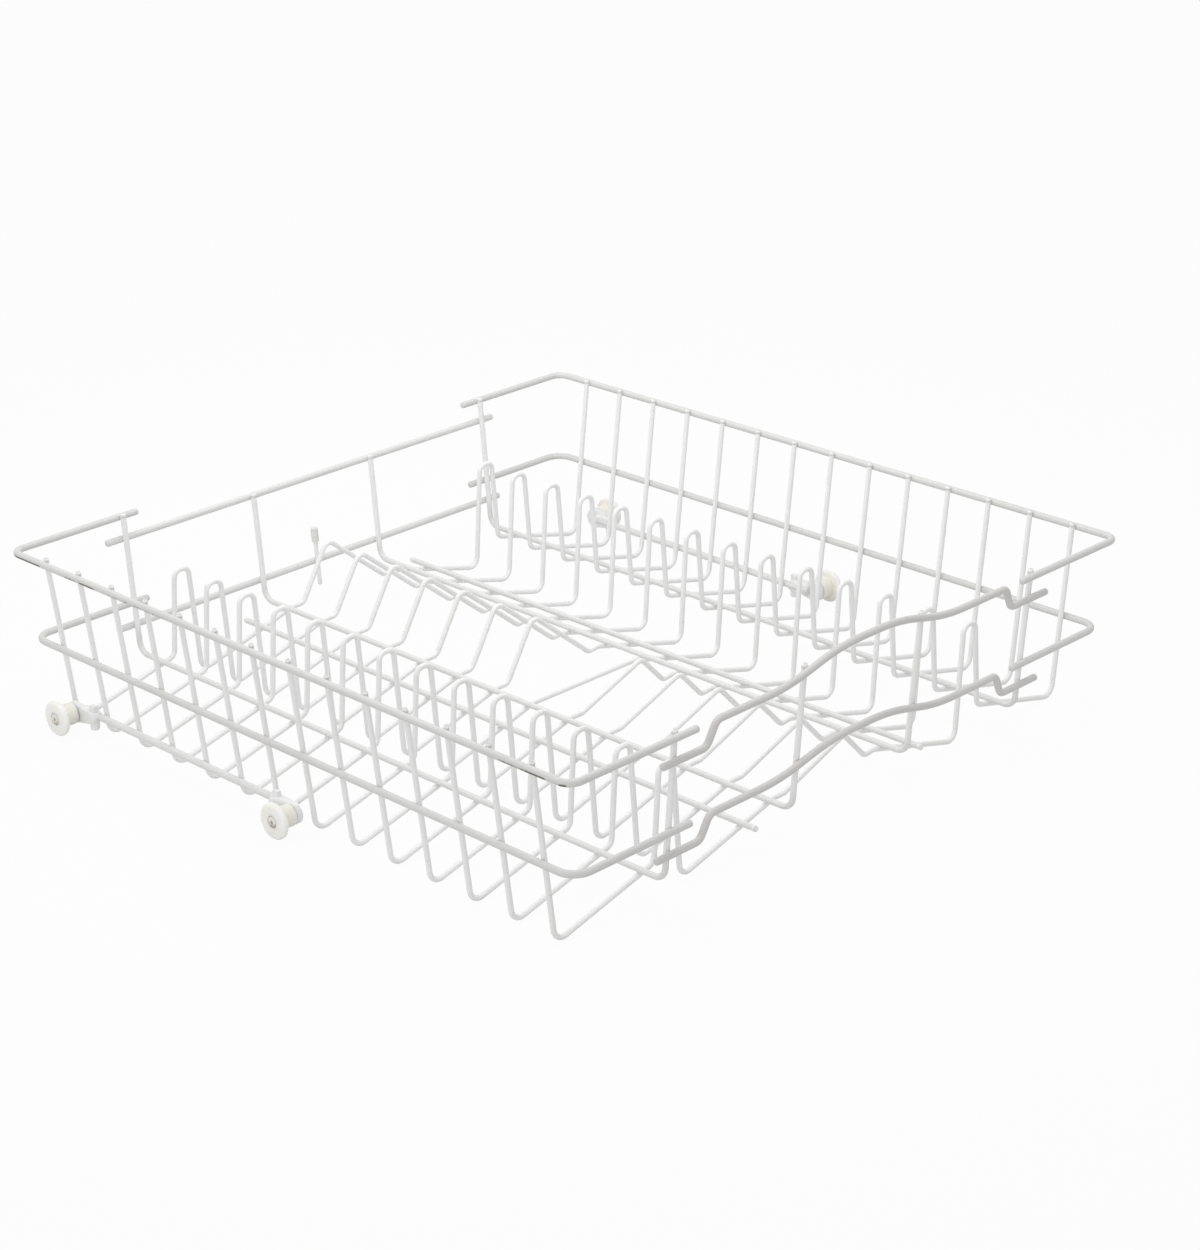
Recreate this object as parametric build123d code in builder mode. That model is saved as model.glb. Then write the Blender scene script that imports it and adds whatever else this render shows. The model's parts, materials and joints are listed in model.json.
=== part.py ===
"""Upper dishwasher basket of coated steel wire, carried on four nylon rollers.

Millimetres, +Z up, front at -Y. The origin lies on the ground, under the middle of the basket.
"""

import os
from math import cos, radians, sin, tan

from build123d import *

# Wire sizes over the coating, and how deep two welded wires sink into each other
heavy_wire = 4.8
long_wire = 4.0
lateral_wire = 3.6
rail_wire = 5.0
pin_wire = 3.2
weld_bite = 0.2
tip_round = 1.0

# Rim and walls
rim_width = 519.2
rim_depth = 529.2
rim_height = 119.6
mid_rim_drop = 63.0
rim_stub_end = 154.5
rim_bend = 9.0
mid_rim_bend = 13.0
side_lean = 7.2
end_lean = 5.0
tip_above = 3.4

# End wires between the rim stubs
end_wire_half = 183.5
end_wire_drop = 15.8
step_outer = 145.5
step_inner = 138.0
step_bend = 6.0
arch_foot = 76.0
arch_crown = 27.0
top_arch_rise = 12.5
mid_arch_rise = 12.0
arch_bend = 150.0

# Runners, the U-shaped wires from the front wall to the rear wall, and the plain floor wires
outer_runner_x = 169.5
inner_runner_x = 55.7
inner_runner_height = 27.2
runner_bend = 9.0
floor_wire_x = 80.5
floor_wire_overhang = 15.0

# Laterals, the cross wires: one profile in X and Z, repeated along Y
lateral_count = 14
lateral_inset = 33.9
wall_bend = 8.0
shelf_slope = 14.2
tine_x = 145.7
tine_width = 12.0
tine_height = 83.0
tine_outer_foot_x = 156.5
tine_inner_foot_x = 133.5
tine_bend = 5.5
foot_bend = 6.0
heel_bend = 7.0
ramp_slope = 15.3
peak_x = 49.0
peak_bend = 10.0
crown_foot = (-38.5, 25.3)
crown_dip = (39.5, 24.3)
tall_apex = (-13.5, 67.0)
low_apex = (18.5, 46.0)
apex_bend = 6.0
dip_bend = 5.0
tall_count = 7

# Roller rails, brackets and rollers
rail_height = 14.2
axle_drop = 1.0
rear_axle_inset = 12.0
front_axle_inset = 9.6
bracket_inside = 1.6
bracket_outside = 6.6
boss_diameter = 14.6
boss_thickness = 4.0
arm_length = 18.0
clip_start = 7.5
clip_diameter = 9.0
bracket_edge_round = 1.6
rail_seat_clearance = 0.05
rail_end_gap = 3.0
post_diameter = 6.4
post_drop = 4.7
post_round = 1.2
post_hole_diameter = 3.0
post_hole_depth = 2.5
prong_length = 5.0
prong_thickness = 3.5
prong_rise = 8.5
prong_round = 1.0
roller_side_gap = 0.4
drum_diameter = 15.0
drum_length = 10.5
drum_round = 1.0
flange_diameter = 24.4
flange_thickness = 4.5
flange_round = 2.0
hub_recess_diameter = 8.6
hub_recess_depth = 1.4
axle_diameter = 4.0
axle_clearance = 0.08
axle_seat_depth = 3.2
axle_head_diameter = 7.4
axle_head_thickness = 1.3
axle_head_gap = 0.3
head_hole_diameter = 2.4
head_hole_depth = 1.8

# Upright pin on the rear wall and its cap
rear_pin_x = -4.0
rear_pin_low = 23.0
rear_pin_high = 66.0
cap_diameter = 5.4
cap_length = 11.0
cap_roof = 1.2
cap_round = 1.6
cap_clearance = 0.05

heavy_radius = heavy_wire / 2
long_radius = long_wire / 2
lateral_radius = lateral_wire / 2
rail_radius = rail_wire / 2
side_tilt = radians(side_lean)
end_tilt = radians(end_lean)
shelf = radians(shelf_slope)
ramp = radians(ramp_slope)


def weld_gap(first_radius, second_radius, slope):
    """Upright or level distance between the centre lines of two welded wires, one of them on a slope."""
    return (first_radius + second_radius - weld_bite) / cos(slope)


# Centre line of the side walls: half width at a height
side_wall_top = rim_width / 2 - weld_gap(heavy_radius, lateral_radius, side_tilt)
end_wall_top = rim_depth / 2 - weld_gap(heavy_radius, long_radius, end_tilt)


def side_wall(height):
    return side_wall_top - (rim_height - height) * tan(side_tilt)


def end_wall(height):
    return end_wall_top - (rim_height - height) * tan(end_tilt)


# The bend under each side wall touches the ground
wall_turn = radians(90 - side_lean + shelf_slope)
corner_height = (
    lateral_radius
    - wall_bend * tan(wall_turn / 2) * sin(shelf)
    + wall_bend * (1 - cos(shelf))
)
corner_x = side_wall(corner_height)


def shelf_height(x):
    return corner_height + (corner_x - x) * tan(shelf)


def ramp_height(x):
    under_runner = inner_runner_height - weld_gap(long_radius, lateral_radius, ramp)
    return under_runner - (x - inner_runner_x) * tan(ramp)


outer_runner_height = shelf_height(outer_runner_x) + weld_gap(long_radius, lateral_radius, shelf)
floor_wire_height = ramp_height(floor_wire_x) + weld_gap(long_radius, lateral_radius, ramp)
mid_rim_height = rim_height - mid_rim_drop
first_lateral_y = rim_depth / 2 - lateral_inset
lateral_pitch = 2 * first_lateral_y / (lateral_count - 1)
floor_wire_half = first_lateral_y + floor_wire_overhang
rail_x = side_wall(rail_height) + weld_gap(rail_radius, lateral_radius, side_tilt)

# Wall planes that hold the centre lines of the heavy end wires, with their origin at rim height
front_wall = Plane(
    origin=(0, -rim_depth / 2, rim_height), x_dir=(1, 0, 0), z_dir=(0, -cos(end_tilt), -sin(end_tilt))
)
rear_wall = Plane(
    origin=(0, rim_depth / 2, rim_height), x_dir=(1, 0, 0), z_dir=(0, -cos(end_tilt), sin(end_tilt))
)
mid_line = -mid_rim_drop / cos(end_tilt)
end_step = -end_wire_drop / cos(end_tilt)

os.makedirs("parts", exist_ok=True)


def save(piece, name):
    piece.part.label = name
    export_step(piece.part, f"parts/{name}.step")


def bent_wire(points, bends, diameter, plane):
    """Round wire along a chain of points on a plane, with its own bend radius at each corner."""
    with BuildPart() as wire:
        with BuildLine(plane) as centre_line:
            FilletPolyline(*points, radius=bends)
        with BuildSketch(Plane(origin=centre_line.line @ 0, z_dir=centre_line.line % 0)):
            Circle(diameter / 2)
        sweep(path=centre_line.line)
        fillet(wire.faces().filter_by(GeomType.PLANE).edges(), tip_round)
    return wire


def straight_wire(start, end, diameter):
    """Round wire between two points."""
    with BuildPart() as wire:
        with BuildLine() as centre_line:
            Line(start, end)
        with BuildSketch(Plane(origin=centre_line.line @ 0, z_dir=centre_line.line % 0)):
            Circle(diameter / 2)
        sweep(path=centre_line.line)
        fillet(wire.faces().filter_by(GeomType.PLANE).edges(), tip_round)
    return wire


# Rim wires: on each side one U at the top and one at mid height
for side, side_name in ((-1, "left"), (1, "right")):
    for height, bend, rim_name in (
        (rim_height, rim_bend, "rim"),
        (mid_rim_height, mid_rim_bend, "mid_rim"),
    ):
        half_width = rim_width / 2 - (rim_height - height) * tan(side_tilt)
        half_depth = rim_depth / 2 - (rim_height - height) * tan(end_tilt)
        rim_points = (
            (side * rim_stub_end, half_depth),
            (side * half_width, half_depth),
            (side * half_width, -half_depth),
            (side * rim_stub_end, -half_depth),
        )
        save(
            bent_wire(rim_points, (bend, bend), heavy_wire, Plane.XY.offset(height)),
            f"{rim_name}_{side_name}",
        )

# Rear end wires: straight, a step below the rim stubs
for line, wire_name in ((0, "rear_top_wire"), (mid_line, "rear_mid_wire")):
    rear_start = rear_wall.from_local_coords((-end_wire_half, line + end_step))
    rear_end = rear_wall.from_local_coords((end_wire_half, line + end_step))
    save(straight_wire(rear_start, rear_end, heavy_wire), wire_name)

# Front end wires: they step up to the level of the stubs and arch over the middle
for line, rise, wire_name in (
    (0, top_arch_rise, "front_top_wire"),
    (mid_line, mid_arch_rise, "front_mid_wire"),
):
    right_half = (
        (arch_crown, line + rise),
        (arch_foot, line),
        (step_inner, line),
        (step_outer, line + end_step),
        (end_wire_half, line + end_step),
    )
    left_half = [(-x, level) for x, level in reversed(right_half)]
    half_bends = (step_bend, step_bend, arch_bend, arch_bend)
    save(
        bent_wire(
            (*left_half, *right_half), (*half_bends, *reversed(half_bends)), heavy_wire, front_wall
        ),
        wire_name,
    )

# Runners: the inner two stop at the lower rear wire and reach up to the front arch
arch_side = (arch_foot - inner_runner_x) / (arch_foot - arch_crown)
rim_tip = rim_height + tip_above
inner_front_tip = rim_tip + top_arch_rise * arch_side
inner_rear_tip = rim_tip - end_wire_drop
for number, (x, run_height, front_tip, rear_tip) in enumerate(
    (
        (-outer_runner_x, outer_runner_height, rim_tip, rim_tip),
        (-inner_runner_x, inner_runner_height, inner_front_tip, inner_rear_tip),
        (inner_runner_x, inner_runner_height, inner_front_tip, inner_rear_tip),
        (outer_runner_x, outer_runner_height, rim_tip, rim_tip),
    ),
    start=1,
):
    runner_points = (
        (-end_wall(front_tip), front_tip),
        (-end_wall(run_height), run_height),
        (end_wall(run_height), run_height),
        (end_wall(rear_tip), rear_tip),
    )
    runner_plane = Plane(origin=(x, 0, 0), x_dir=(0, 1, 0), z_dir=(1, 0, 0))
    save(
        bent_wire(runner_points, (runner_bend, runner_bend), long_wire, runner_plane),
        f"runner_{number}",
    )

# Plain floor wires with free ends
for x, wire_name in ((-floor_wire_x, "floor_wire_left"), (floor_wire_x, "floor_wire_right")):
    floor_start = (x, -floor_wire_half, floor_wire_height)
    floor_end = (x, floor_wire_half, floor_wire_height)
    save(straight_wire(floor_start, floor_end, long_wire), wire_name)

# Laterals: tall crown at the rear, one plain lateral, low crown at the front
half_profile = (
    (side_wall(rim_tip), rim_tip),
    (corner_x, corner_height),
    (tine_outer_foot_x, shelf_height(tine_outer_foot_x)),
    (tine_x + tine_width / 2, tine_height),
    (tine_x - tine_width / 2, tine_height),
    (tine_inner_foot_x, ramp_height(tine_inner_foot_x)),
    (peak_x, ramp_height(peak_x)),
)
profile_bends = (wall_bend, foot_bend, tine_bend, tine_bend, heel_bend, peak_bend)
left_profile = [(-x, z) for x, z in half_profile]
tall_crown = (crown_foot, tall_apex, crown_dip)
low_crown = (crown_foot, low_apex, crown_dip)
crown_bends = (foot_bend, apex_bend, dip_bend)
for index in range(lateral_count):
    if index < tall_count:
        crown, middle_bends = tall_crown, crown_bends
    elif index == tall_count:
        crown, middle_bends = (), ()
    else:
        crown, middle_bends = low_crown, crown_bends
    lateral_plane = Plane(
        origin=(0, first_lateral_y - index * lateral_pitch, 0), x_dir=(1, 0, 0), z_dir=(0, -1, 0)
    )
    save(
        bent_wire(
            (*left_profile, *crown, *reversed(half_profile)),
            (*profile_bends, *middle_bends, *reversed(profile_bends)),
            lateral_wire,
            lateral_plane,
        ),
        f"lateral_{index + 1:02d}",
    )

# Roller rails, brackets, axles and rollers; each bracket snaps on the outside of its rail
boss_radius = boss_diameter / 2
clip_radius = clip_diameter / 2
rear_axle_y = first_lateral_y - rear_axle_inset
front_axle_y = first_lateral_y - lateral_pitch * tall_count + front_axle_inset
axle_height = rail_height - axle_drop
rail_rear = rear_axle_y - rail_end_gap
rail_front = front_axle_y + rail_end_gap
bracket_face = rail_x + bracket_outside
bracket_width = bracket_outside + bracket_inside
bracket_middle = bracket_face - bracket_width / 2
roller_face = bracket_face + roller_side_gap
recess_floor = drum_length + flange_thickness - hub_recess_depth
post_bottom = rail_height - clip_radius - post_drop
for side, side_name in ((-1, "left"), (1, "right")):
    save(
        straight_wire(
            (side * rail_x, rail_front, rail_height),
            (side * rail_x, rail_rear, rail_height),
            rail_wire,
        ),
        f"rail_{side_name}",
    )
    for axle_y, outward, end_name in ((rear_axle_y, 1, "rear"), (front_axle_y, -1, "front")):
        post_y = axle_y - outward * arm_length
        post_centre = (side * bracket_middle, post_y)
        rail_plane = Plane(
            origin=(side * rail_x, axle_y - outward * rail_end_gap, rail_height),
            x_dir=(1, 0, 0),
            z_dir=(0, -outward, 0),
        )
        axle_plane = Plane(
            origin=(side * bracket_face, axle_y, axle_height), x_dir=(0, 1, 0), z_dir=(side, 0, 0)
        )

        with BuildPart() as bracket:
            with BuildSketch(axle_plane):
                Circle(boss_radius)
                with Locations((-outward * arm_length, side * axle_drop)):
                    Circle(clip_radius)
                make_hull()
            extrude(amount=-boss_thickness)
            with BuildSketch(axle_plane):
                with Locations(
                    (-outward * clip_start, side * axle_drop), (-outward * arm_length, side * axle_drop)
                ):
                    Circle(clip_radius)
                make_hull()
            extrude(amount=-bracket_width)
            flat_sides = bracket.faces().filter_by(Axis.X).sort_by(Axis.X)
            fillet(flat_sides[0].edges() + flat_sides[-1].edges(), bracket_edge_round)
            with BuildSketch(Plane.XY.offset(post_bottom)):
                with Locations(post_centre):
                    Circle(post_diameter / 2)
            extrude(amount=rail_height - post_bottom)
            fillet(bracket.faces().sort_by(Axis.Z)[0].edges(), post_round)
            with BuildSketch(Plane.XY.offset(rail_height)):
                with Locations(post_centre):
                    Rectangle(prong_thickness, prong_length)
            extrude(amount=prong_rise)
            fillet(bracket.faces().sort_by(Axis.Z)[-1].edges(), prong_round)
            with BuildSketch(rail_plane):
                Circle(rail_radius + rail_seat_clearance)
            extrude(amount=arm_length + clip_radius, mode=Mode.SUBTRACT)
            with BuildSketch(Plane.XY.offset(post_bottom)):
                with Locations(post_centre):
                    Circle(post_hole_diameter / 2)
            extrude(amount=post_hole_depth, mode=Mode.SUBTRACT)
            with BuildSketch(axle_plane):
                Circle(axle_diameter / 2)
            extrude(amount=-axle_seat_depth, mode=Mode.SUBTRACT)
        save(bracket, f"bracket_{end_name}_{side_name}")

        roller_plane = Plane(
            origin=(side * roller_face, axle_y, axle_height), x_dir=(side, 0, 0), z_dir=(0, -1, 0)
        )
        with BuildPart() as roller:
            with BuildSketch(roller_plane):
                with BuildLine():
                    Polyline(
                        (0, axle_diameter / 2 + axle_clearance),
                        (0, drum_diameter / 2),
                        (drum_length, drum_diameter / 2),
                        (drum_length, flange_diameter / 2),
                        (drum_length + flange_thickness, flange_diameter / 2),
                        (drum_length + flange_thickness, hub_recess_diameter / 2),
                        (recess_floor, hub_recess_diameter / 2),
                        (recess_floor, axle_diameter / 2 + axle_clearance),
                        close=True,
                    )
                make_face()
            revolve(axis=Axis((0, axle_y, axle_height), (1, 0, 0)))
            flange_rims = roller.edges().filter_by(GeomType.CIRCLE).filter_by(
                lambda edge: edge.radius > flange_diameter / 2 - flange_round
            )
            fillet(flange_rims, flange_round)
            drum_edges = roller.edges().filter_by(GeomType.CIRCLE).filter_by(
                lambda edge: abs(edge.radius - drum_diameter / 2) < axle_clearance
            )
            fillet(drum_edges, drum_round)
        save(roller, f"roller_{end_name}_{side_name}")

        head_plane = axle_plane.offset(roller_side_gap + recess_floor + axle_head_gap)
        with BuildPart() as axle:
            with BuildSketch(axle_plane.offset(-axle_seat_depth)):
                Circle(axle_diameter / 2)
            extrude(amount=axle_seat_depth + roller_side_gap + recess_floor + axle_head_gap)
            with BuildSketch(head_plane):
                Circle(axle_head_diameter / 2)
            extrude(amount=axle_head_thickness)
            fillet(axle.faces().sort_by(Axis.X)[-1 if side > 0 else 0].edges(), axle_head_thickness / 2)
            with BuildSketch(head_plane.offset(axle_head_thickness)):
                Circle(head_hole_diameter / 2)
            extrude(amount=-head_hole_depth, mode=Mode.SUBTRACT)
        save(axle, f"axle_{end_name}_{side_name}")

# Upright pin welded inside the rear mid wire, and the cap on its top
pin_radius = pin_wire / 2
pin_wall = rear_wall.offset(heavy_radius + pin_radius - weld_bite)
pin_low = pin_wall.from_local_coords((rear_pin_x, (rear_pin_low - rim_height) / cos(end_tilt)))
pin_high = pin_wall.from_local_coords((rear_pin_x, (rear_pin_high - rim_height) / cos(end_tilt)))
save(straight_wire(pin_low, pin_high, pin_wire), "rear_pin")
cap_plane = Plane(origin=pin_high, z_dir=pin_high - pin_low)
with BuildPart() as pin_cap:
    with BuildSketch(cap_plane.offset(cap_roof)):
        Circle(cap_diameter / 2)
    extrude(amount=-cap_length)
    fillet(pin_cap.faces().sort_by(Axis.Z)[-1].edges(), cap_round)
    with BuildSketch(cap_plane):
        Circle(pin_radius + cap_clearance)
    extrude(amount=-cap_length, mode=Mode.SUBTRACT)
save(pin_cap, "pin_cap")
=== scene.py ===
import json
from math import atan, cos, radians, sin, tan

import bpy
import numpy as np
from bpy.props import FloatProperty, FloatVectorProperty, IntProperty, PointerProperty
from mathutils import Matrix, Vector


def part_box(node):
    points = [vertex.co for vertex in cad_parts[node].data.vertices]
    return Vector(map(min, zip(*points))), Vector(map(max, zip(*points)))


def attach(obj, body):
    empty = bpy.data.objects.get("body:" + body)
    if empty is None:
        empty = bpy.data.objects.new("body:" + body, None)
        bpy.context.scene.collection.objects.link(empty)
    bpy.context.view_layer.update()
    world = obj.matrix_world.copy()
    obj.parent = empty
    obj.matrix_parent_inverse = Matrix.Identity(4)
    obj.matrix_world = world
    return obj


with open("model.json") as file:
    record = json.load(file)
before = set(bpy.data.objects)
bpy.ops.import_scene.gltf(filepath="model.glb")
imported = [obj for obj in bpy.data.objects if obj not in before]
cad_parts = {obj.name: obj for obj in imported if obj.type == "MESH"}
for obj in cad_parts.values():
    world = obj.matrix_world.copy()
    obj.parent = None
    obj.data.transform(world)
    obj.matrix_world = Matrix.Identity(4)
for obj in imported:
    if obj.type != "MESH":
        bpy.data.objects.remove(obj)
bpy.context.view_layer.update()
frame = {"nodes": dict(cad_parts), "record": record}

bl_info = {
    "name": "Dishwasher Basket Dressing",
    "version": (1, 0, 0),
    "blender": (4, 5, 0),
    "location": "View3D > Sidebar > Basket",
    "description": "Coating, weld beads, wire tips, rollers and studio stage for a wire basket",
    "category": "Object",
}


def extent(node, axis):
    """Lowest and highest value of a node along one axis."""
    low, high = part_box(node)
    return low[axis], high[axis]


def middle(node, axis):
    """Middle of a node along one axis."""
    low, high = extent(node, axis)
    return (low + high) / 2


def thickness(node, axis):
    """Extent of a node along one axis."""
    low, high = extent(node, axis)
    return high - low


HEAVY = thickness("rim_left", 2)
LONG = thickness("runner_1", 0)
CROSS = thickness("lateral_08", 1)
RAIL = thickness("rail_left", 0)
PIN = thickness("rear_pin", 0)
RIM_Z = middle("rim_left", 2)
MID_Z = middle("mid_rim_left", 2)
RIM_X = extent("rim_right", 0)[1] - HEAVY / 2
MID_X = extent("mid_rim_right", 0)[1] - HEAVY / 2
RIM_Y = extent("rim_right", 1)[1] - HEAVY / 2
MID_Y = extent("mid_rim_right", 1)[1] - HEAVY / 2
SIDE_LEAN = atan((RIM_X - MID_X) / (RIM_Z - MID_Z))
END_LEAN = atan((RIM_Y - MID_Y) / (RIM_Z - MID_Z))
AXLE_Z = middle("axle_front_right", 2)
HEAD_X = extent("axle_front_right", 0)[1]
# Thickness of a roller's flange, and the X of its inner side
FLANGE = 0.0045
FLANGE_X = extent("roller_front_right", 0)[1] - FLANGE
# Heights between which the long wires' coating is painted darker, as painted shade near the floor,
# and how far it darkens
FLOOR_SHADE_START, FLOOR_SHADE_FULL, FLOOR_SHADE_SHARE = 0.045, 0.03, 0.9
# Dirt on the wires, the rollers and the moulded pieces; painted shade on the axles' heads
SPECK = (0.36, 0.33, 0.28, 1.0)
SMEAR = (0.36, 0.33, 0.26, 1.0)
DIRT = (0.30, 0.29, 0.27, 1.0)
HUB_SHADE = (0.24, 0.22, 0.19, 1.0)
# Rubbed stretches of the left rim: start and end in Y, length of the fade, strength
SCUFFS = (
    (0.230, 0.264, 0.004, 0.95),
    (0.187, 0.205, 0.005, 0.50),
    (0.170, 0.188, 0.004, 0.80),
    (0.090, 0.170, 0.020, 0.42),
    (-0.247, -0.231, 0.002, 1.00),
    (-0.262, -0.258, 0.0008, 1.00),
    (-0.246, -0.208, 0.004, 0.50),
)
# Rings of a weld bead, depth of its poles in the wires as a share of their radius
BEAD_RINGS = 5
BEAD_DEPTH = 0.8
# Rings of a wire tip as shares of its length; its start, back pole and fit on the wire in radii
TIP_RINGS = np.array([0.0, 0.2, 0.45, 0.68, 0.84, 0.93, 0.98])
TIP_START, TIP_BACK, TIP_FIT = 2.0, 1.9, 0.985
# Shade of the front and rear wires' coating where it is a little dull
DULL = 0.96

HEAVY_WIRES = [
    name for name in frame["nodes"]
    if name.endswith(("_top_wire", "_mid_wire")) or "rim_" in name
]
LONG_WIRES = [
    name for name in frame["nodes"]
    if name.startswith(("runner_", "floor_wire_", "rail_"))
]
LATERALS = sorted(name for name in frame["nodes"] if name.startswith("lateral_"))
LATERAL_Y = np.array([middle(name, 1) for name in LATERALS])


class BasketWeldSizes(bpy.types.PropertyGroup):
    """Sizes of the coating where wires cross and where they end."""

    shelf_slope: FloatProperty(
        name="Shelf slope", description="Slope of the cross wires under the outer runners",
        default=radians(14.2), subtype="ANGLE",
    )
    ramp_slope: FloatProperty(
        name="Ramp slope",
        description="Slope of the cross wires under the inner runners and floor wires",
        default=radians(15.3), subtype="ANGLE",
    )
    weld_sink: FloatProperty(
        name="Weld sink", description="How deep two welded wires sink into each other",
        default=0.0002, unit="LENGTH", precision=5,
    )
    bead_reach: FloatProperty(
        name="Bead reach",
        description="Share of the thinner wire's radius that a weld bead reaches out to",
        default=0.94, min=0.3, max=0.97,
    )
    bead_waist: FloatProperty(
        name="Bead waist", description="Share of the reach that is left at the waist of a bead",
        default=0.74, min=0.3, max=1.0,
    )
    bead_sides: IntProperty(
        name="Bead sides", description="Points round each weld bead", default=16, min=8, max=48,
    )
    tip_above: FloatProperty(
        name="Tip height",
        description="How far upright wires end above the centre of their topmost heavy wire",
        default=0.0034, unit="LENGTH", precision=4,
    )
    arch_foot: FloatProperty(
        name="Arch foot",
        description="Half width of the front arches where they leave the level wire",
        default=0.076, unit="LENGTH",
    )
    arch_crown: FloatProperty(
        name="Arch crown",
        description="Half width of the front arches where they reach their full height",
        default=0.027, unit="LENGTH",
    )
    tip_swell: FloatProperty(
        name="Tip swell",
        description="How much thicker the coating is on a wire end, as a share of the radius",
        default=0.05, min=0.0, max=0.3,
    )
    tip_dome: FloatProperty(
        name="Tip dome",
        description="Height of the coating over a wire end, as a share of the radius",
        default=0.22, min=0.05, max=1.0,
    )


class BasketFinish(bpy.types.PropertyGroup):
    """Colours of the coating and the plastics."""

    coating: FloatVectorProperty(
        name="Coating", description="Colour of the coating on the cross wires",
        default=(0.87, 0.87, 0.87), subtype="COLOR", min=0.0, max=1.0,
    )
    coating_aged: FloatVectorProperty(
        name="Aged coating",
        description="Colour of the cross wires' coating where it is a little dull",
        default=(0.835, 0.832, 0.82), subtype="COLOR", min=0.0, max=1.0,
    )
    # Painted shade: the long wires' coating is painted darker where they lie low near the floor
    low_shaded_coating: FloatVectorProperty(
        name="Low coating",
        description="Colour of the long wires' coating where they lie low on the floor",
        default=(0.73, 0.728, 0.72), subtype="COLOR", min=0.0, max=1.0,
    )
    heavy_coating: FloatVectorProperty(
        name="Heavy coating", description="Colour of the coating on the heavy wires",
        default=(0.665, 0.663, 0.655), subtype="COLOR", min=0.0, max=1.0,
    )
    heavy_aged: FloatVectorProperty(
        name="Aged heavy coating",
        description="Colour of the heavy wires' coating where it is a little dull",
        default=(0.63, 0.625, 0.61), subtype="COLOR", min=0.0, max=1.0,
    )
    # Painted shade: the front wall's wires are painted darker than the other heavy wires
    front_coating: FloatVectorProperty(
        name="Front coating",
        description="Colour of the coating on the two arched wires of the front wall",
        default=(0.63, 0.622, 0.61), subtype="COLOR", min=0.0, max=1.0,
    )
    # Painted light: the rear wall's wires are painted lighter than the other heavy wires
    rear_coating: FloatVectorProperty(
        name="Rear coating",
        description="Colour of the coating on the two straight wires of the rear wall",
        default=(0.73, 0.73, 0.722), subtype="COLOR", min=0.0, max=1.0,
    )
    scuff: FloatVectorProperty(
        name="Scuff", description="Colour of the rubbed line low on the left rim",
        default=(0.15, 0.12, 0.10), subtype="COLOR", min=0.0, max=1.0,
    )
    nylon: FloatVectorProperty(
        name="Nylon", description="Colour of the rollers",
        default=(0.90, 0.895, 0.86), subtype="COLOR", min=0.0, max=1.0,
    )
    nylon_worn: FloatVectorProperty(
        name="Worn nylon", description="Colour of the rollers where they are yellowed",
        default=(0.87, 0.85, 0.77), subtype="COLOR", min=0.0, max=1.0,
    )
    bracket: FloatVectorProperty(
        name="Bracket", description="Colour of the moulded brackets",
        default=(0.85, 0.86, 0.86), subtype="COLOR", min=0.0, max=1.0,
    )
    bracket_tint: FloatVectorProperty(
        name="Bracket tint", description="Colour of the brackets in their flow clouds",
        default=(0.80, 0.805, 0.79), subtype="COLOR", min=0.0, max=1.0,
    )
    cap: FloatVectorProperty(
        name="Cap", description="Colour of the cap on the rear pin",
        default=(0.76, 0.76, 0.74), subtype="COLOR", min=0.0, max=1.0,
    )
    cap_tint: FloatVectorProperty(
        name="Cap tint", description="Colour of the cap in its flow clouds",
        default=(0.66, 0.66, 0.64), subtype="COLOR", min=0.0, max=1.0,
    )
    axle: FloatVectorProperty(
        name="Axle", description="Colour of the roller axles",
        default=(0.84, 0.83, 0.77), subtype="COLOR", min=0.0, max=1.0,
    )
    axle_tint: FloatVectorProperty(
        name="Axle tint", description="Colour of the axles in their flow clouds",
        default=(0.76, 0.74, 0.66), subtype="COLOR", min=0.0, max=1.0,
    )


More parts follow.
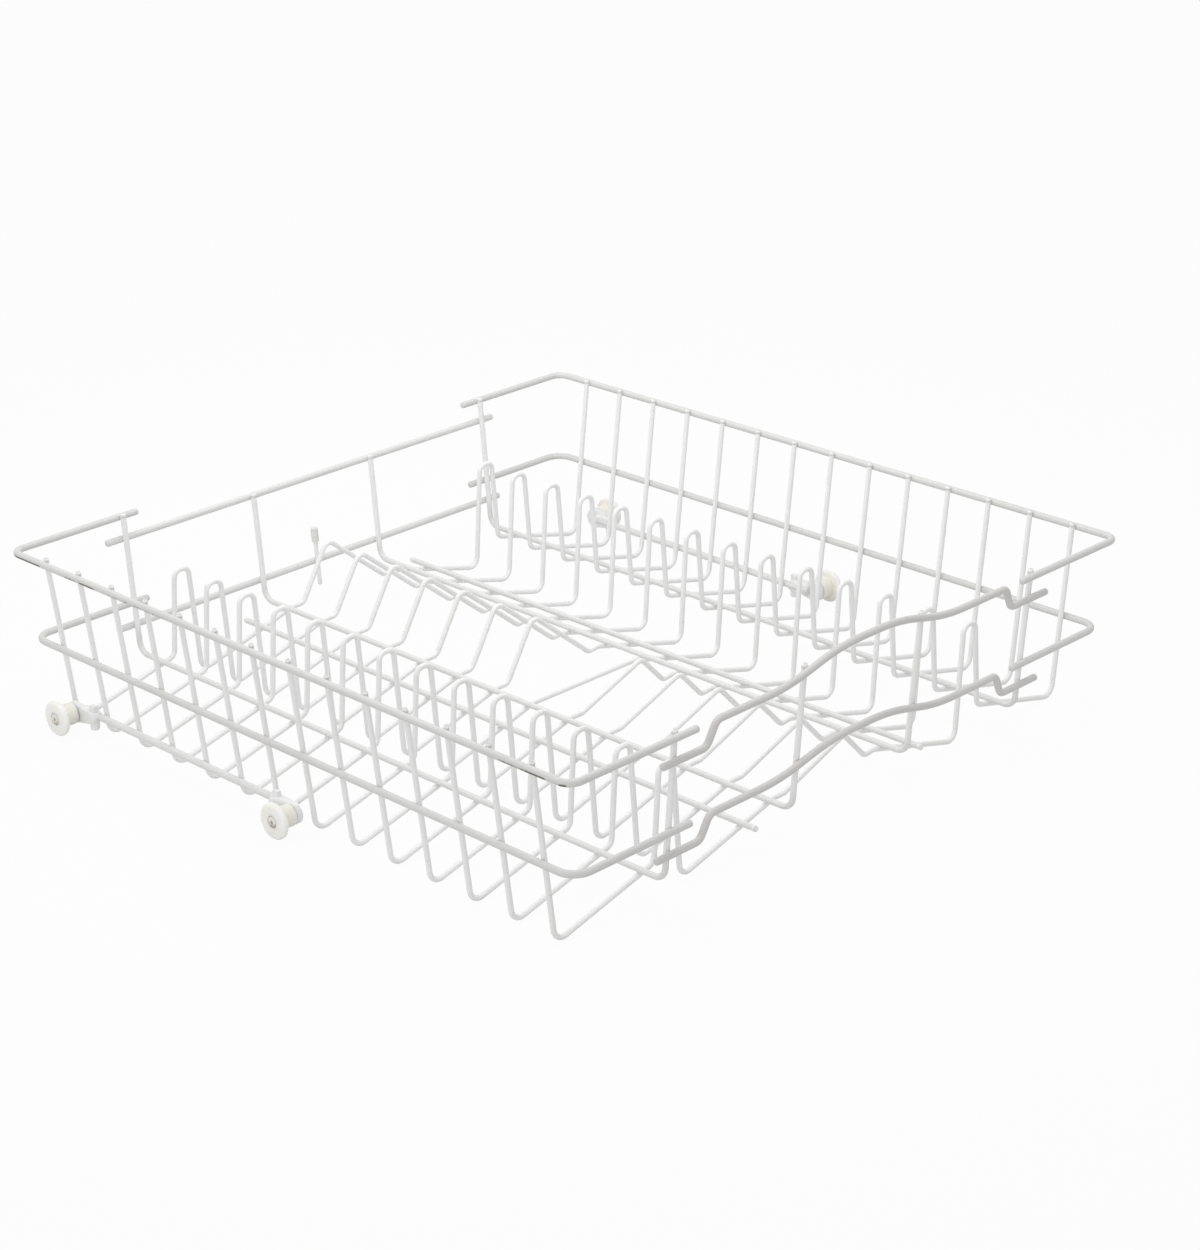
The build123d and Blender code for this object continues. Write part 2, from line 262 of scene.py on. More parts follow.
class BasketStage(bpy.types.PropertyGroup):
    """Floor, light and camera."""

    floor: FloatVectorProperty(
        name="Floor", description="Colour of the floor",
        default=(0.7, 0.7, 0.7), subtype="COLOR", min=0.0, max=1.0,
    )
    floor_white: FloatProperty(
        name="Floor white",
        description="Share of plain white in what the camera sees of the floor",
        default=0.94, min=0.0, max=1.0,
    )
    room_light: FloatProperty(
        name="Room light", description="Strength of the even light from all round",
        default=0.69, min=0.0,
    )
    top_power: FloatProperty(
        name="Top light", description="Power of the soft light over the basket",
        default=3.3, min=0.0, unit="POWER",
    )
    top_place: FloatVectorProperty(
        name="Top light place", description="Where the soft light over the basket hangs",
        default=(0.0, 0.12, 0.75), subtype="TRANSLATION", unit="LENGTH",
    )
    top_target: FloatVectorProperty(
        name="Top light target", description="Point that the soft light over the basket looks at",
        default=(0.0, 0.1, 0.0), subtype="TRANSLATION", unit="LENGTH",
    )
    top_size: FloatProperty(
        name="Top light size", description="Side of the square light over the basket",
        default=1.0, min=0.01, unit="LENGTH",
    )
    side_light: FloatProperty(
        name="Side light", description="Strength of the broad soft light from the left",
        default=0.55, min=0.0,
    )
    side_place: FloatVectorProperty(
        name="Side light place", description="Point that the light from the left comes from",
        default=(-2.3, -0.4, 0.7), subtype="TRANSLATION", unit="LENGTH",
    )
    side_spread: FloatProperty(
        name="Side light spread", description="Angle over which the light from the left is spread",
        default=radians(60), subtype="ANGLE",
    )
    camera_place: FloatVectorProperty(
        name="Camera place", description="Where the camera stands",
        default=(-1.32107, -1.34125, 0.85152), subtype="TRANSLATION", unit="LENGTH",
    )
    camera_heading: FloatProperty(
        name="Camera heading",
        description="Direction of view in the floor plane, from +X towards +Y",
        default=0.7805, subtype="ANGLE",
    )
    camera_pitch: FloatProperty(
        name="Camera pitch", description="How far the camera looks down",
        default=0.39753, subtype="ANGLE",
    )
    camera_roll: FloatProperty(
        name="Camera roll", description="Turn of the camera about its line of view",
        default=0.01385, subtype="ANGLE",
    )
    camera_lens: FloatProperty(
        name="Camera lens", description="Focal length in millimetres for a frame 36 mm high",
        default=86.702, min=10.0,
    )


class Field:
    """One shader socket: arithmetic adds Math nodes, node() adds a node of any other kind."""

    def __init__(self, tree, socket=None):
        self.tree = tree
        self.socket = socket

    def node(self, kind, settings=None, inputs=None, output=0):
        """Add a node: settings first, then values or links of its sockets; give one output."""
        made = self.tree.nodes.new(kind)
        for name, value in (settings or {}).items():
            if name == "stops":
                ramp = made.color_ramp
                ramp.elements[0].position, ramp.elements[0].color = value[0]
                ramp.elements[1].position, ramp.elements[1].color = value[-1]
                for position, color in value[1:-1]:
                    ramp.elements.new(position).color = color
            else:
                setattr(made, name, value)
        for name, value in (inputs or {}).items():
            if isinstance(value, Field):
                self.tree.links.new(value.socket, made.inputs[name])
            else:
                made.inputs[name].default_value = value
        return Field(self.tree, made.outputs[output])

    def math(self, operation, first, second=0.0):
        return self.node("ShaderNodeMath", {"operation": operation}, {0: first, 1: second})

    def __add__(self, other):
        return self.math("ADD", self, other)

    __radd__ = __add__

    def __sub__(self, other):
        return self.math("SUBTRACT", self, other)

    def __rsub__(self, other):
        return self.math("SUBTRACT", other, self)

    def __mul__(self, other):
        return self.math("MULTIPLY", self, other)

    __rmul__ = __mul__

    def __truediv__(self, other):
        return self.math("DIVIDE", self, other)

    def __rtruediv__(self, other):
        return self.math("DIVIDE", other, self)

    def __abs__(self):
        return self.math("ABSOLUTE", self)

    def step(self, low, high):
        """Smooth step: 0 up to low, 1 from high on; with low above high it falls instead."""
        rising = low < high
        return self.node(
            "ShaderNodeMapRange", {"interpolation_type": "SMOOTHSTEP"},
            {"Value": self, "From Min": min(low, high), "From Max": max(low, high),
             "To Min": 0.0 if rising else 1.0, "To Max": 1.0 if rising else 0.0},
        )

    def noise(self, place, scale, detail=2.0, roughness=0.5):
        """Fractal noise about 0.5 on a place, with features 1 / scale metres wide."""
        return self.node(
            "ShaderNodeTexNoise", {},
            {"Vector": place, "Scale": scale, "Detail": detail, "Roughness": roughness},
        )

    def blend(self, first, second):
        """Colour mix: first where this value is 0, second where it is 1."""
        inputs = {0: self, 6: first, 7: second}
        return self.node("ShaderNodeMix", {"data_type": "RGBA"}, inputs, output=2)

    def bump(self, strength, distance):
        """Normal of a surface raised by this value times distance."""
        inputs = {"Strength": strength, "Distance": distance, "Height": self}
        return self.node("ShaderNodeBump", {}, inputs, output="Normal")

    def axes(self, names):
        """The parts of this place along the named axes."""
        return [self.node("ShaderNodeSeparateXYZ", {}, {0: self}, output=name) for name in names]


def new_finish(name):
    """An empty material with a Principled shader: the material, its Field and the shader node."""
    material = bpy.data.materials.new(name)
    material.use_nodes = True
    tree = material.node_tree
    tree.nodes.clear()
    output = tree.nodes.new("ShaderNodeOutputMaterial")
    shader = tree.nodes.new("ShaderNodeBsdfPrincipled")
    tree.links.new(shader.outputs["BSDF"], output.inputs["Surface"])
    return material, Field(tree), shader


def feed(shader, **sockets):
    """Link Fields to a shader's sockets, set plain values on others; a name's _ is a space."""
    for name, value in sockets.items():
        socket = shader.inputs[name.replace("_", " ")]
        if isinstance(value, Field):
            value.tree.links.new(value.socket, socket)
        else:
            socket.default_value = value


def solid(color):
    """A property's colour with full opacity."""
    return (*color, 1.0)


def coating_finish(name, fresh, aged_color, low_shade_color=None, scuff_color=None):
    """Satin dip coating: cloudy ageing, an orange-peel skin and small specks.

    Long wires are painted darker where they lie low, as painted shade near the floor, and the left
    rim has a rubbed line.
    """
    material, field, shader = new_finish(name)
    place = field.node("ShaderNodeTexCoord", output="Object")
    cloud = field.noise(place, 11.0, 3.0, 0.6)
    patch = field.noise(place, 55.0, 2.0, 0.55)
    skin = field.noise(place, 420.0, 2.0, 0.5)
    speck = field.noise(place, 300.0, 1.0, 0.4).step(0.72, 0.80)
    aged = (cloud.step(0.42, 0.72) * 0.75) + (patch.step(0.55, 0.75) * 0.25)
    color = aged.blend(solid(fresh), solid(aged_color))
    # Painted shade near the floor: darker colour low down on the long wires
    if low_shade_color:
        height, = place.axes("Z")
        color = (height.step(FLOOR_SHADE_START, FLOOR_SHADE_FULL) * FLOOR_SHADE_SHARE).blend(color, solid(low_shade_color))
    color = (speck * 0.22).blend(color, SPECK)
    rough = 0.48 + cloud * 0.14 + patch * 0.06
    if scuff_color:
        scuff = rim_scuff(field, place)
        color = scuff.blend(color, solid(scuff_color))
        rough = rough + scuff * 0.2
    feed(
        shader, Base_Color=color, Roughness=rough,
        Normal=(skin + patch * 0.8).bump(0.12, 0.00025), IOR=1.46,
        Coat_Weight=0.05, Coat_Roughness=0.35,
    )
    return material


def rim_scuff(field, place):
    """Rubbed line low on the outer side of the left rim.

    A band of height in some stretches of Y, with noise added before the stretches are cut out.
    """
    across, along, up = place.axes("XYZ")
    level = (up - RIM_Z) / (HEAVY / 2)
    band = abs(level + 0.34).step(0.46, 0.14)
    outer = across.step(-RIM_X + 0.0045, -RIM_X + 0.0015)
    worn = along * 0.0
    for start, end, fade, strength in SCUFFS:
        stretch = along.step(start - fade, start + fade) * along.step(end + fade, end - fade)
        worn = field.math("MAXIMUM", worn, stretch * strength)
    broken = field.noise(place, 240.0, 3.0, 0.65)
    return (worn + (broken - 0.5) * 0.8).step(0.30, 0.75) * band * outer


def nylon_finish(finish):
    """White nylon that light passes a little way into, yellowed on the drums and in patches."""
    material, field, shader = new_finish("roller_nylon")
    place = field.node("ShaderNodeTexCoord", output="Object")
    cloud = field.noise(place, 70.0, 3.0, 0.55)
    grain = field.noise(place, 900.0, 2.0, 0.5)
    smear = field.noise(place, 260.0, 3.0, 0.65).step(0.62, 0.78)
    across, = place.axes("X")
    drum = abs(across).step(FLANGE_X + 0.0006, FLANGE_X - 0.0012)
    yellowed = field.math("MAXIMUM", cloud.step(0.48, 0.80) * 0.7, drum)
    color = yellowed.blend(solid(finish.nylon), solid(finish.nylon_worn))
    color = (smear * 0.18).blend(color, SMEAR)
    feed(
        shader, Base_Color=color, Roughness=0.36 + cloud * 0.16,
        Normal=grain.bump(0.10, 0.0002), IOR=1.53,
        Subsurface_Weight=0.65, Subsurface_Radius=(1.0, 0.9, 0.7), Subsurface_Scale=0.006,
    )
    return material


def hub_painted_shade(field, place):
    """Painted shade on an axle's head: from just above its centre it grows downwards, broken by
    noise.
    """
    across, up = place.axes("XZ")
    head = abs(across).step(HEAD_X - 0.0012, HEAD_X - 0.0008)
    below = (up - AXLE_Z).step(0.0006, -0.0022)
    broken = field.noise(place, 620.0, 2.0, 0.6).step(0.34, 0.58)
    return head * below * broken


def moulded_finish(name, color, tint, painted_shade=None):
    """Moulded plastic: faint flow clouds, a fine grain and dirt in small spots."""
    material, field, shader = new_finish(name)
    place = field.node("ShaderNodeTexCoord", output="Object")
    flow = field.noise(place, 120.0, 3.0, 0.6)
    grain = field.noise(place, 1100.0, 2.0, 0.5)
    dirt = field.noise(place, 380.0, 3.0, 0.7).step(0.62, 0.80)
    shade = flow.step(0.35, 0.75).blend(solid(color), solid(tint))
    shade = (dirt * 0.25).blend(shade, DIRT)
    # Painted shade: a given mask darkens the colour, as on the axles' heads
    if painted_shade:
        shade = (painted_shade(field, place) * 0.8).blend(shade, HUB_SHADE)
    feed(
        shader, Base_Color=shade, Roughness=0.40 + flow * 0.18,
        Normal=grain.bump(0.10, 0.0002), IOR=1.5,
        Subsurface_Weight=0.12, Subsurface_Radius=(1.0, 1.0, 0.95), Subsurface_Scale=0.002,
    )
    return material


def give(nodes, material):
    """Put one material on CAD nodes."""
    for name in nodes:
        mesh = frame["nodes"][name].data
        mesh.materials.clear()
        mesh.materials.append(material)


def nodes_of(slot):
    """Names of the CAD nodes with one material slot."""
    return [part["node"] for part in frame["record"]["subparts"] if part["material_slot"] == slot]


def spool_faces(count, rings, sides):
    """Faces of count closed spools, each a first pole, rings of points and a last pole."""
    around = np.arange(sides)
    after = (around + 1) % sides
    first = 1 + around
    last = 1 + (rings - 1) * sides
    row = 1 + np.arange(rings - 1)[:, None] * sides
    quads = np.stack((row + around, row + after, row + sides + after, row + sides + around), -1)
    quads = quads.reshape(-1, 4)
    top = np.stack((np.zeros_like(around), 1 + after, first), -1)
    foot = np.stack((np.full_like(around, 1 + rings * sides), last + around, last + after), -1)
    each = np.arange(count)[:, None, None] * (2 + rings * sides)
    return (each + quads).reshape(-1, 4), (each + np.concatenate((top, foot))).reshape(-1, 3)


def add_piece(name, points, quads, triangles, material):
    """A smooth mesh piece that rides on the basket and takes the coating's slot."""
    mesh = bpy.data.meshes.new(name)
    mesh.from_pydata(points.reshape(-1, 3).tolist(), [], quads.tolist() + triangles.tolist())
    mesh.polygons.foreach_set("use_smooth", np.ones(len(mesh.polygons), dtype=bool))
    mesh.materials.append(material)
    mesh.update()
    piece = bpy.data.objects.new(name, mesh)
    bpy.context.scene.collection.objects.link(piece)
    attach(piece, "basket")
    return piece


def weld_beads(centre, along, normal, first_radius, second_radius, sizes):
    """Coating drawn into the corner between two crossing wires, one closed spool for each weld.

    At angle t in the contact plane the spool reaches out by q. On the first wire it lies at
    -(R - root(R*R - (q sin t)^2)) along the normal, on the second wire at
    +(r - root(r*r - (q cos t)^2)). From one to the other the radius draws in to the waist
    along a parabola. The poles lie in the wires.
    """
    count = len(centre)
    first = np.broadcast_to(np.asarray(first_radius, float), (count,))[:, None]
    second = np.broadcast_to(np.asarray(second_radius, float), (count,))[:, None]
    contact = centre + normal * (first - sizes.weld_sink / 2)
    across = np.cross(normal, along)
    angle = np.linspace(0, 2 * np.pi, sizes.bead_sides, endpoint=False)[None, :]
    reach = sizes.bead_reach * np.minimum(first, second)
    low = -(first - np.sqrt(first**2 - (reach * np.sin(angle)) ** 2))
    high = second - np.sqrt(second**2 - (reach * np.cos(angle)) ** 2)
    share = np.linspace(0, 1, BEAD_RINGS)
    draw = 1 - (1 - sizes.bead_waist) * (1 - (2 * share - 1) ** 2)
    height = low[:, None, :] + (high - low)[:, None, :] * share[None, :, None]
    radius = (reach * draw[None, :])[:, :, None]
    ring = (
        contact[:, None, None, :]
        + (radius * np.cos(angle)[:, None, :])[..., None] * along[:, None, None, :]
        + (radius * np.sin(angle)[:, None, :])[..., None] * across[:, None, None, :]
        + height[..., None] * normal[:, None, None, :]
    ).reshape(count, -1, 3)
    sunk = (contact - normal * first * BEAD_DEPTH)[:, None, :]
    raised = (contact + normal * second * BEAD_DEPTH)[:, None, :]
    points = np.concatenate((sunk, ring, raised), 1)
    return points, spool_faces(count, BEAD_RINGS, sizes.bead_sides)


def wire_tips(end, outward, radius, sizes):
    """Drops of coating over wire ends, one closed dome for each end.

    From one diameter behind the end to the top of the dome the radius is
    R (fit + swell sin(pi min(1.1 u, 1))) root(1 - u^6), where u runs from 0 to 1 at the top.
    """
    count = len(end)
    size = np.broadcast_to(np.asarray(radius, float), (count,))
    helper = np.where(np.abs(outward[:, 2:]) < 0.9, [[0.0, 0.0, 1.0]], [[1.0, 0.0, 0.0]])
    side = np.cross(outward, helper)
    side /= np.linalg.norm(side, axis=1, keepdims=True)
    other = np.cross(outward, side)
    angle = np.linspace(0, 2 * np.pi, sizes.bead_sides, endpoint=False)
    swell = sizes.tip_swell * np.sin(np.pi * np.minimum(TIP_RINGS * 1.1, 1))
    profile = (TIP_FIT + swell) * np.sqrt(1 - TIP_RINGS**6)
    advance = -TIP_START + (TIP_START + sizes.tip_dome) * TIP_RINGS
    spread = (size[:, None] * profile[None, :])[..., None, None]
    circle = np.cos(angle)[None, None, :, None] * side[:, None, None, :]
    circle = circle + np.sin(angle)[None, None, :, None] * other[:, None, None, :]
    ring = end[:, None, None, :] + spread * circle
    ring = ring + (size[:, None] * advance[None, :])[..., None, None] * outward[:, None, None, :]
    back = (end - TIP_BACK * size[:, None] * outward)[:, None, :]
    top = (end + sizes.tip_dome * size[:, None] * outward)[:, None, :]
    points = np.concatenate((back, ring.reshape(count, -1, 3), top), 1)
    return points, spool_faces(count, len(TIP_RINGS), sizes.bead_sides)


def end_line(end, z):
    """Y of the heavy wires' centre plane at a height, front wall for -1 and rear wall for 1."""
    return end * (RIM_Y - (RIM_Z - z) * tan(END_LEAN))


def arch_rise(level):
    """How far a front arch stands above its rim wire, top or mid."""
    base = RIM_Z if level == "top" else MID_Z
    return extent(f"front_{level}_wire", 2)[1] - HEAVY / 2 - base


def low_line(name):
    """Height of a heavy wire's centre line where it lies lowest."""
    return extent(name, 2)[0] + HEAVY / 2


def arch_slope(level, sizes):
    """Slope of a front arch's flank: its rise over the width of the flank."""
    return arch_rise(level) / (sizes.arch_foot - sizes.arch_crown)


def rows(*columns):
    """Columns of numbers, each one value or many, as rows of vectors."""
    columns = np.broadcast_arrays(*[np.asarray(column, float) for column in columns])
    return np.stack(columns, -1).reshape(-1, len(columns))


class BASKET_OT_coating(bpy.types.Operator):
    """Coat every wire, and rub the left rim"""

    bl_idname = "basket.coating"
    bl_label = "Wire coating"

    def execute(self, context):
        finish = context.scene.basket_finish
        thin = (finish.coating, finish.coating_aged)
        heavy = (finish.heavy_coating, finish.heavy_aged)
        give(nodes_of("coated_wire"), coating_finish("wire_coating", *thin))
        # The long wires' material carries painted shade where they lie low near the floor
        give(LONG_WIRES, coating_finish("long_coating_floor_shade", *thin, low_shade_color=finish.low_shaded_coating))
        give(HEAVY_WIRES, coating_finish("heavy_coating", *heavy))
        # Painted shade on the front wall's wires and painted light on the rear wall's wires: the
        # same coating in a darker and a lighter colour
        for label, fresh in (("front", finish.front_coating), ("rear", finish.rear_coating)):
            coat = coating_finish(f"{label}_coating", fresh, [DULL * value for value in fresh])
            give([f"{label}_top_wire", f"{label}_mid_wire"], coat)
        give(["rim_left"], coating_finish("rubbed_coating", *heavy, scuff_color=finish.scuff))
        return {"FINISHED"}


class BASKET_OT_floor_welds(bpy.types.Operator):
    """Weld beads between the runners, the floor wires and the cross wires under them"""

    bl_idname = "basket.floor_welds"
    bl_label = "Floor welds"

    def execute(self, context):
        sizes = context.scene.basket_welds
        long_wires = {
            "runner_1": sizes.shelf_slope, "runner_2": sizes.ramp_slope,
            "floor_wire_left": sizes.ramp_slope, "floor_wire_right": sizes.ramp_slope,
            "runner_3": sizes.ramp_slope, "runner_4": sizes.shelf_slope,
        }
        for name, slope in long_wires.items():
            x = middle(name, 0)
            centre = rows(x, LATERAL_Y, extent(name, 2)[0] + LONG / 2)
            normal = rows(np.full(len(LATERAL_Y), -np.sign(x) * sin(slope)), 0.0, -cos(slope))
            along = rows(np.zeros(len(LATERAL_Y)), 1.0, 0.0)
            points, faces = weld_beads(centre, along, normal, LONG / 2, CROSS / 2, sizes)
            add_piece(f"welds_{name}", points, *faces, bpy.data.materials["wire_coating"])
        return {"FINISHED"}


class BASKET_OT_side_welds(bpy.types.Operator):
    """Weld beads between the rims, the roller rails and the legs of the cross wires"""

    bl_idname = "basket.side_welds"
    bl_label = "Side welds"

    def execute(self, context):
        sizes = context.scene.basket_welds
        for side, label in ((-1, "left"), (1, "right")):
            rail_x, rail_z = middle(f"rail_{label}", 0), middle(f"rail_{label}", 2)
            rail_low, rail_high = extent(f"rail_{label}", 1)
            held = LATERAL_Y[(LATERAL_Y > rail_low) & (LATERAL_Y < rail_high)]
            for name, x, z, places, size in (
                (f"rim_{label}", side * RIM_X, RIM_Z, LATERAL_Y, HEAVY),
                (f"mid_rim_{label}", side * MID_X, MID_Z, LATERAL_Y, HEAVY),
                (f"rail_{label}", rail_x, rail_z, held, RAIL),
            ):
                normal = rows(np.full(len(places), -side * cos(SIDE_LEAN)), 0.0, sin(SIDE_LEAN))
                along = rows(np.zeros(len(places)), 1.0, 0.0)
                centre = rows(x, places, z)
                points, faces = weld_beads(centre, along, normal, size / 2, CROSS / 2, sizes)
                coat = "wire_coating" if "rail" in name else "heavy_coating"
                add_piece(f"welds_{name}", points, *faces, bpy.data.materials[coat])
        return {"FINISHED"}


class BASKET_OT_end_welds(bpy.types.Operator):
    """Weld beads between the heavy end wires, the rim stubs and the legs of the runners"""

    bl_idname = "basket.end_welds"
    bl_label = "End welds"

    def execute(self, context):
        sizes = context.scene.basket_welds
        outer = abs(middle("runner_1", 0))
        inner = abs(middle("runner_2", 0))
        for end, label in ((-1, "front"), (1, "rear")):
            # The front coating carries painted shade, the rear coating painted light
            coat = bpy.data.materials[f"{label}_coating"]
            low_top = low_line(f"{label}_top_wire")
            low_mid = low_line(f"{label}_mid_wire")
            crossing = [(outer, z, 0.0) for z in (RIM_Z, MID_Z, low_top, low_mid)]
            if label == "rear":
                crossing += [(inner, low_top, 0.0), (inner, low_mid, 0.0)]
            else:
                for level, base in (("top", RIM_Z), ("mid", MID_Z)):
                    slope = arch_slope(level, sizes)
                    crossing.append((inner, base + slope * (sizes.arch_foot - inner), slope))
            x, z, fall = np.array(crossing + [(-a, b, -c) for a, b, c in crossing]).T
            normal = rows(np.zeros(len(x)), -end * cos(END_LEAN), sin(END_LEAN))
            along = rows(np.ones(len(x)), -end * fall * sin(END_LEAN), -fall * cos(END_LEAN))
            along /= np.linalg.norm(along, axis=1, keepdims=True)
            centre = rows(x, end_line(end, z), z)
            points, faces = weld_beads(centre, along, normal, HEAVY / 2, LONG / 2, sizes)
            add_piece(f"welds_{label}_end", points, *faces, coat)
        # The rear pin's weld takes the rear coating with its painted light
        pin_z = low_line("rear_mid_wire")
        centre = rows(middle("rear_pin", 0), end_line(1, pin_z), pin_z)
        normal = rows(0.0, -cos(END_LEAN), sin(END_LEAN))
        along = rows(1.0, 0.0, 0.0)
        points, faces = weld_beads(centre, along, normal, HEAVY / 2, PIN / 2, sizes)
        add_piece("weld_rear_pin", points, *faces, bpy.data.materials["rear_coating"])
        return {"FINISHED"}


class BASKET_OT_tips(bpy.types.Operator):
    """Drops of coating on the free ends of all wires"""

    bl_idname = "basket.tips"
    bl_label = "Wire tips"

    def execute(self, context):
        sizes = context.scene.basket_welds
        heavy = bpy.data.materials["heavy_coating"]
        tip_z = RIM_Z + sizes.tip_above
        inset = (HEAVY / 2 + CROSS / 2 - sizes.weld_sink) / cos(SIDE_LEAN)
        reach = RIM_X - inset + sizes.tip_above * tan(SIDE_LEAN)
        for side, label in ((-1, "left"), (1, "right")):
            end = rows(side * reach, LATERAL_Y, tip_z)
            outward = rows(np.full(len(LATERAL_Y), side * sin(SIDE_LEAN)), 0.0, cos(SIDE_LEAN))
            points, faces = wire_tips(end, outward, CROSS / 2, sizes)
            add_piece(f"tips_laterals_{label}", points, *faces, heavy)
            ends, ways = [], []
            for name, z in ((f"rim_{label}", RIM_Z), (f"mid_rim_{label}", MID_Z)):
                x = extent(name, 0)[1 if side < 0 else 0]
                for y in extent(name, 1):
                    ends.append((x, y - np.sign(y) * HEAVY / 2, z))
                    ways.append((-side, 0.0, 0.0))
            points, faces = wire_tips(np.array(ends), np.array(ways, float), HEAVY / 2, sizes)
            add_piece(f"tips_rims_{label}", points, *faces, heavy)
        for label, end in (("front", -1), ("rear", 1)):
            ends, ways = [], []
            for level in ("top", "mid"):
                name = f"{label}_{level}_wire"
                z = low_line(name)
                for x in extent(name, 0):
                    ends.append((x, end_line(end, z), z))
                    ways.append((np.sign(x), 0.0, 0.0))
            points, faces = wire_tips(np.array(ends), np.array(ways, float), HEAVY / 2, sizes)
            # The front coating carries painted shade, the rear coating painted light
            coat = bpy.data.materials[f"{label}_coating"]
            add_piece(f"tips_{label}_wires", points, *faces, coat)
        ends, ways = [], []
        for name in ("floor_wire_left", "floor_wire_right"):
            for y in extent(name, 1):
                ends.append((middle(name, 0), y, middle(name, 2)))
                ways.append((0.0, np.sign(y), 0.0))
        points, faces = wire_tips(np.array(ends), np.array(ways, float), LONG / 2, sizes)
        add_piece("tips_floor_wires", points, *faces, bpy.data.materials["wire_coating"])
        on_arch = arch_slope("top", sizes) * (sizes.arch_foot - abs(middle("runner_2", 0)))
        leg_inset = (HEAVY / 2 + LONG / 2 - sizes.weld_sink) / cos(END_LEAN)
        ends, ways = [], []
        for number in (1, 2, 3, 4):
            x = middle(f"runner_{number}", 0)
            short = number in (2, 3)
            front = RIM_Z + (on_arch if short else 0.0)
            rear = low_line("rear_top_wire") if short else RIM_Z
            for end, z in ((-1, front + sizes.tip_above), (1, rear + sizes.tip_above)):
                ends.append((x, end_line(end, z) - end * leg_inset, z))
                ways.append((0.0, end * sin(END_LEAN), cos(END_LEAN)))
        points, faces = wire_tips(np.array(ends), np.array(ways, float), LONG / 2, sizes)
        add_piece("tips_runners", points, *faces, heavy)
        return {"FINISHED"}


class BASKET_OT_rollers(bpy.types.Operator):
    """Nylon for the rollers, moulded plastic for the brackets, the axles and the cap"""

    bl_idname = "basket.rollers"
    bl_label = "Rollers and brackets"

    def execute(self, context):
        finish = context.scene.basket_finish
        give(nodes_of("roller_nylon"), nylon_finish(finish))
        # The axles' heads get painted shade below their centres
        for slot, color, tint, painted_shade in (
            ("bracket_plastic", finish.bracket, finish.bracket_tint, None),
            ("cap_plastic", finish.cap, finish.cap_tint, None),
            ("axle_plastic", finish.axle, finish.axle_tint, hub_painted_shade),
        ):
            give(nodes_of(slot), moulded_finish(slot, color, tint, painted_shade))
        return {"FINISHED"}


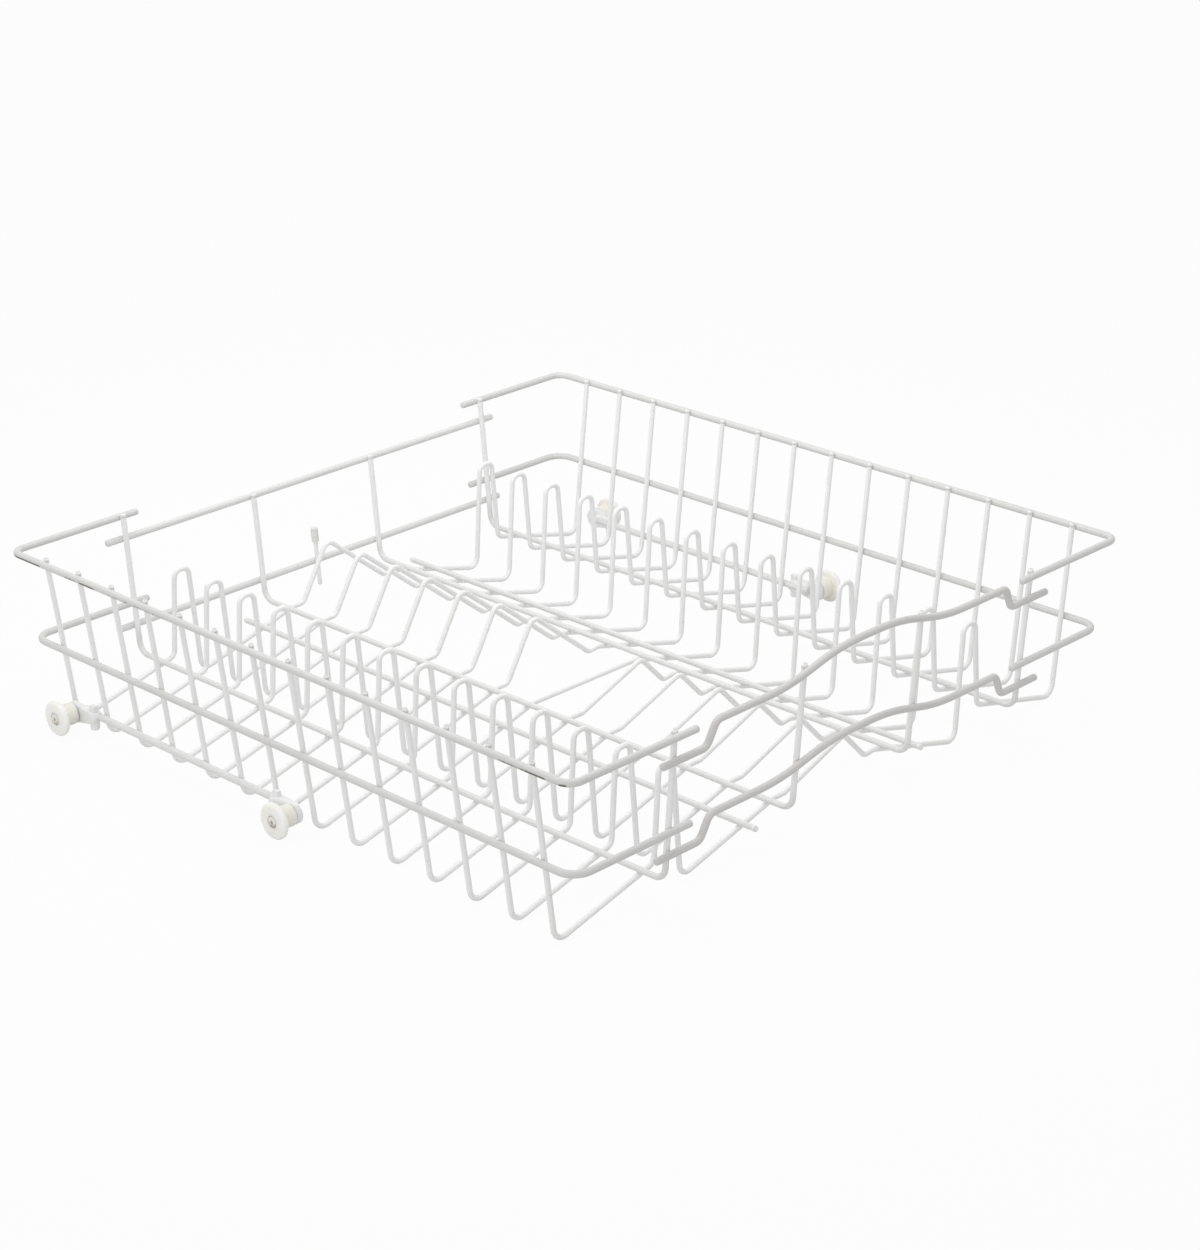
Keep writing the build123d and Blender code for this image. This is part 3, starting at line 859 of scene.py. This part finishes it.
class BASKET_OT_stage(bpy.types.Operator):
    """Pale floor, soft light from above and the left, white surroundings and the camera"""

    bl_idname = "basket.stage"
    bl_label = "Stage"

    def execute(self, context):
        stage = context.scene.basket_stage
        scene = context.scene
        scene.view_settings.view_transform = "Standard"
        self.lay_floor(scene, stage)
        self.light_room(scene, stage)
        top = self.hang_light(
            scene, "light_top", "AREA", stage.top_place, stage.top_target, stage.top_power,
        )
        top.size = stage.top_size
        side = self.hang_light(
            scene, "light_side", "SUN", stage.side_place, (0.0, 0.0, 0.0), stage.side_light,
        )
        side.angle = stage.side_spread
        self.place_camera(scene, stage)
        return {"FINISHED"}

    def lay_floor(self, scene, stage):
        """A square floor just under the basket; the camera sees it mixed with plain white."""
        half, drop = 8.0, 0.0004
        corner = np.array([(-1, -1, 0), (1, -1, 0), (1, 1, 0), (-1, 1, 0)]) * half
        mesh = bpy.data.meshes.new("floor")
        mesh.from_pydata((corner - (0.0, 0.0, drop)).tolist(), [], [(0, 1, 2, 3)])
        floor = bpy.data.objects.new("floor", mesh)
        scene.collection.objects.link(floor)
        material, field, shader = new_finish("floor_white")
        tree = field.tree
        feed(shader, Base_Color=solid(stage.floor), Roughness=0.9)
        white = tree.nodes.new("ShaderNodeEmission")
        white.inputs["Strength"].default_value = 1.0
        seen = self.background_ray(field) * stage.floor_white
        mixed = tree.nodes.new("ShaderNodeMixShader")
        tree.links.new(seen.socket, mixed.inputs[0])
        tree.links.new(shader.outputs["BSDF"], mixed.inputs[1])
        tree.links.new(white.outputs["Emission"], mixed.inputs[2])
        output = next(node for node in tree.nodes if node.type == "OUTPUT_MATERIAL")
        tree.links.new(mixed.outputs["Shader"], output.inputs["Surface"])
        mesh.materials.append(material)

    def background_ray(self, field):
        """1 for rays that show the background: from the camera, and in gloss and glass."""
        kinds = ("Is Camera Ray", "Is Glossy Ray", "Is Transmission Ray")
        rays = [field.node("ShaderNodeLightPath", output=kind) for kind in kinds]
        return field.math("MAXIMUM", field.math("MAXIMUM", rays[0], rays[1]), rays[2])

    def light_room(self, scene, stage):
        """Even light all round, and plain white where the surroundings themselves are seen."""
        world = bpy.data.worlds.new("studio")
        world.use_nodes = True
        scene.world = world
        tree = world.node_tree
        tree.nodes.clear()
        field = Field(tree)
        seen = self.background_ray(field)
        strength = stage.room_light + seen * (1.0 - stage.room_light)
        light = field.node(
            "ShaderNodeBackground", {}, {"Color": (1.0, 1.0, 1.0, 1.0), "Strength": strength},
        )
        output = tree.nodes.new("ShaderNodeOutputWorld")
        tree.links.new(light.socket, output.inputs["Surface"])

    def hang_light(self, scene, name, kind, place, target, strength):
        """A soft light that looks at a point; the lamp comes back for its size."""
        lamp = bpy.data.lights.new(name, kind)
        lamp.energy = strength
        holder = bpy.data.objects.new(name, lamp)
        scene.collection.objects.link(holder)
        back = np.array(place) - np.array(target)
        back /= np.linalg.norm(back)
        across = np.cross((0.0, 0.0, 1.0), back)
        across /= np.linalg.norm(across)
        turn = np.stack((across, np.cross(back, across), back), 1)
        holder.matrix_world = Matrix.Translation(place) @ Matrix(turn.tolist()).to_4x4()
        return lamp

    def place_camera(self, scene, stage):
        """Camera by heading, pitch and roll."""
        heading, pitch, roll = stage.camera_heading, stage.camera_pitch, stage.camera_roll
        forward = np.array((cos(pitch) * cos(heading), cos(pitch) * sin(heading), -sin(pitch)))
        level = np.cross(forward, (0.0, 0.0, 1.0))
        level /= np.linalg.norm(level)
        down = np.cross(forward, level)
        right = cos(roll) * level + sin(roll) * down
        up = sin(roll) * level - cos(roll) * down
        data = bpy.data.cameras.new("camera")
        data.sensor_fit = "VERTICAL"
        data.sensor_height = 36.0
        data.lens = stage.camera_lens
        data.clip_end = 50.0
        camera = bpy.data.objects.new("camera", data)
        scene.collection.objects.link(camera)
        turn = np.stack((right, up, -forward), 1)
        place = Matrix.Translation(stage.camera_place)
        camera.matrix_world = place @ Matrix(turn.tolist()).to_4x4()
        scene.camera = camera


class BASKET_PT_panel(bpy.types.Panel):
    """Lists the steps that dress the basket"""

    bl_idname = "BASKET_PT_panel"
    bl_label = "Dishwasher Basket"
    bl_space_type = "VIEW_3D"
    bl_region_type = "UI"
    bl_category = "Basket"

    def draw(self, context):
        for operator in OPERATORS:
            self.layout.operator(operator.bl_idname)
        for group in ("basket_welds", "basket_finish", "basket_stage"):
            settings = getattr(context.scene, group)
            column = self.layout.column()
            for name in settings.bl_rna.properties.keys():
                if name not in ("rna_type", "name"):
                    column.prop(settings, name)


OPERATORS = (
    BASKET_OT_coating,
    BASKET_OT_floor_welds,
    BASKET_OT_side_welds,
    BASKET_OT_end_welds,
    BASKET_OT_tips,
    BASKET_OT_rollers,
    BASKET_OT_stage,
)
CLASSES = (BasketWeldSizes, BasketFinish, BasketStage, *OPERATORS, BASKET_PT_panel)


def register():
    for item in CLASSES:
        bpy.utils.register_class(item)
    bpy.types.Scene.basket_welds = PointerProperty(type=BasketWeldSizes)
    bpy.types.Scene.basket_finish = PointerProperty(type=BasketFinish)
    bpy.types.Scene.basket_stage = PointerProperty(type=BasketStage)


def unregister():
    del bpy.types.Scene.basket_stage
    del bpy.types.Scene.basket_finish
    del bpy.types.Scene.basket_welds
    for item in reversed(CLASSES):
        bpy.utils.unregister_class(item)


def main():
    register()
    bpy.ops.basket.coating()
    bpy.ops.basket.floor_welds()
    bpy.ops.basket.side_welds()
    bpy.ops.basket.end_welds()
    bpy.ops.basket.tips()
    bpy.ops.basket.rollers()
    bpy.ops.basket.stage()


if __name__ == "__main__":
    main()
